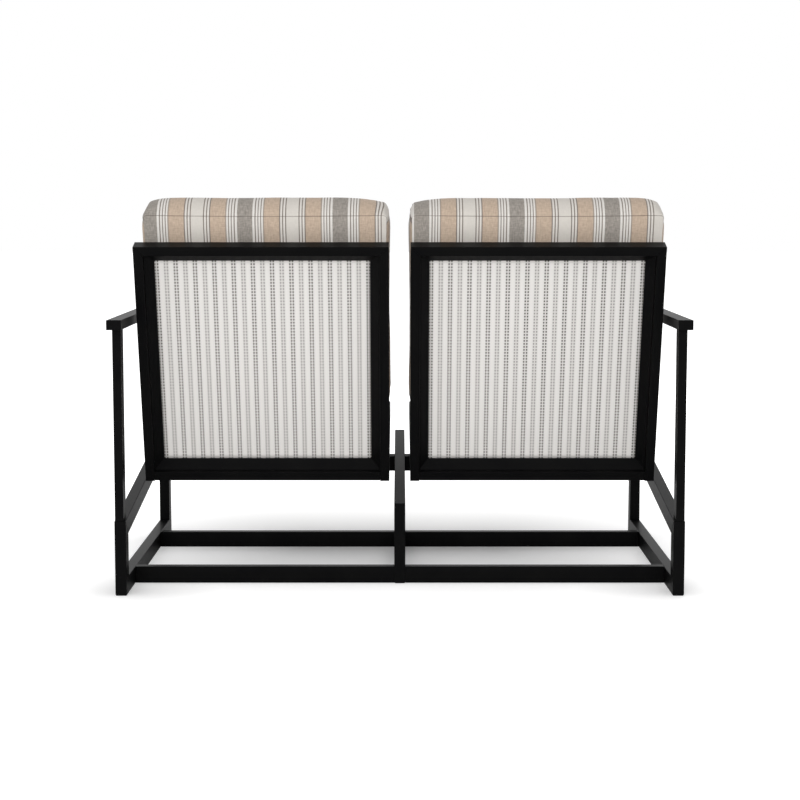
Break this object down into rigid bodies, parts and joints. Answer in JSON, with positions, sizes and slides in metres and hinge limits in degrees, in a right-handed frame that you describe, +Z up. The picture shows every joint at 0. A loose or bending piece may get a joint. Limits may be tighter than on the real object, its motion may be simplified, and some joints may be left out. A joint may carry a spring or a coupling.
{
  "type": "outdoor rocking bench",
  "caption": "Outdoor bench with two spring-rocking bucket seats, sling backs and loose striped cushions on a static tube frame with armrests.",
  "frame": {"origin": "on the floor under the middle of the bench", "axes": "+X along the bench towards the sitter's left, front towards -Y, +Z up"},
  "size_m": [1.2792, 0.879, 0.8865],
  "materials": {
    "powder_coat": "fine satin black powder coat on aluminium tube",
    "sling_fabric": "woven vinyl-coated mesh, off-white with columns of grey dashes",
    "cushion_fabric": "woven outdoor cloth in grey, tan and cream stripes",
    "mechanism_steel": "zinc-plated steel plate and bar",
    "spring_steel": "oiled spring wire",
    "bush_plastic": "natural nylon",
    "stop_rubber": "moulded black rubber",
    "glide_plastic": "moulded black nylon"
  },
  "bodies": {
    "base": {"left_rear_leg": "powder_coat", "left_front_leg": "powder_coat", "left_floor_rail": "powder_coat", "left_seat_rail": "powder_coat", "right_rear_leg": "powder_coat", "right_front_leg": "powder_coat", "right_floor_rail": "powder_coat", "right_seat_rail": "powder_coat", "centre_rear_leg": "powder_coat", "centre_front_leg": "powder_coat", "centre_floor_rail": "powder_coat", "centre_seat_rail": "powder_coat", "rear_floor_rails": "powder_coat", "front_floor_rails": "powder_coat", "left_pivot_bar": "powder_coat", "right_pivot_bar": "powder_coat", "left_rear_arm_post": "powder_coat", "left_front_arm_post": "powder_coat", "right_rear_arm_post": "powder_coat", "right_front_arm_post": "powder_coat", "left_armrest": "powder_coat", "right_armrest": "powder_coat", "foot_glides": "glide_plastic", "left_saddle": "mechanism_steel", "right_saddle": "mechanism_steel", "saddle_bolts": "mechanism_steel", "pivot_bushes": "bush_plastic", "stop_bumpers": "stop_rubber", "left_springs": "spring_steel", "right_springs": "spring_steel"},
    "left_bucket": {"left_back_outer_stile": "powder_coat", "left_back_inner_stile": "powder_coat", "left_back_top_rail": "powder_coat", "left_back_bottom_rail": "powder_coat", "left_back_sling_frame": "powder_coat", "left_back_sling": "sling_fabric", "left_seat_outer_rail": "powder_coat", "left_seat_inner_rail": "powder_coat", "left_seat_front_rail": "powder_coat", "left_seat_sling_frame": "powder_coat", "left_seat_sling": "sling_fabric", "left_rocker_frame": "mechanism_steel", "left_pivot_shaft": "mechanism_steel", "left_seat_cushion": "cushion_fabric", "left_back_cushion": "cushion_fabric"},
    "right_bucket": {"right_back_outer_stile": "powder_coat", "right_back_inner_stile": "powder_coat", "right_back_top_rail": "powder_coat", "right_back_bottom_rail": "powder_coat", "right_back_sling_frame": "powder_coat", "right_back_sling": "sling_fabric", "right_seat_outer_rail": "powder_coat", "right_seat_inner_rail": "powder_coat", "right_seat_front_rail": "powder_coat", "right_seat_sling_frame": "powder_coat", "right_seat_sling": "sling_fabric", "right_rocker_frame": "mechanism_steel", "right_pivot_shaft": "mechanism_steel", "right_seat_cushion": "cushion_fabric", "right_back_cushion": "cushion_fabric"}
  },
  "joints": [
    {"name": "left_rock", "type": "hinge", "parent": "base", "child": "left_bucket", "pos_m": [0.31167, -0.14882, 0.25952], "axis": [-1, 0, 0], "range_deg": [-6, 12], "stiffness_Nm_per_rad": 600, "deforming": ["left_springs"]},
    {"name": "right_rock", "type": "hinge", "parent": "base", "child": "right_bucket", "pos_m": [-0.31167, -0.14882, 0.25952], "axis": [-1, 0, 0], "range_deg": [-6, 12], "stiffness_Nm_per_rad": 600, "deforming": ["right_springs"]}
  ]
}
